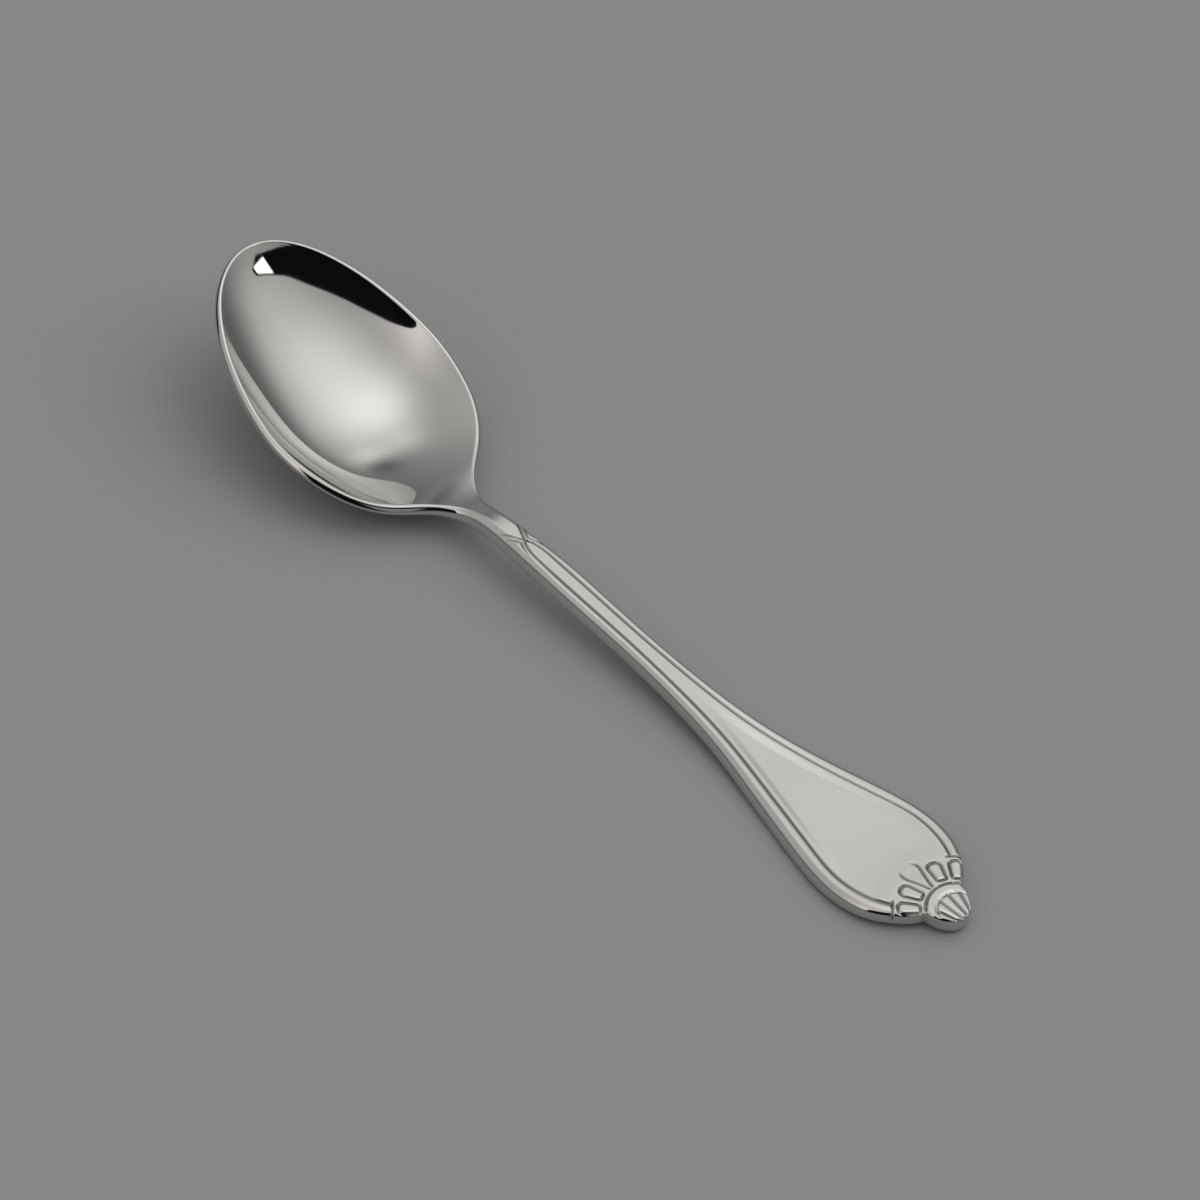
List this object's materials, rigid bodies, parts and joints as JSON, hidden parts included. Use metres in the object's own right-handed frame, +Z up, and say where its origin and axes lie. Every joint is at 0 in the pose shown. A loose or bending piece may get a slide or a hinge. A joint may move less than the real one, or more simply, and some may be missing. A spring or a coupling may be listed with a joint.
{
  "type": "teaspoon",
  "caption": "Polished stainless teaspoon with an egg-shaped bowl, slim arched stem, teardrop handle with threaded border, a fan of petals and a rayed finial.",
  "frame": {"origin": "point on the table under the middle of the spoon's length and width", "axes": "+X along the handle from the bowl's tip to the finial, +Y across, +Z up from the table with the bowl's hollow facing up"},
  "size_m": [0.14, 0.0338, 0.0189],
  "materials": {
    "polished_steel": "mirror-polished stainless steel"
  },
  "bodies": {
    "root": {"bowl": "polished_steel", "stem": "polished_steel", "blade": "polished_steel", "finial": "polished_steel"}
  },
  "joints": []
}
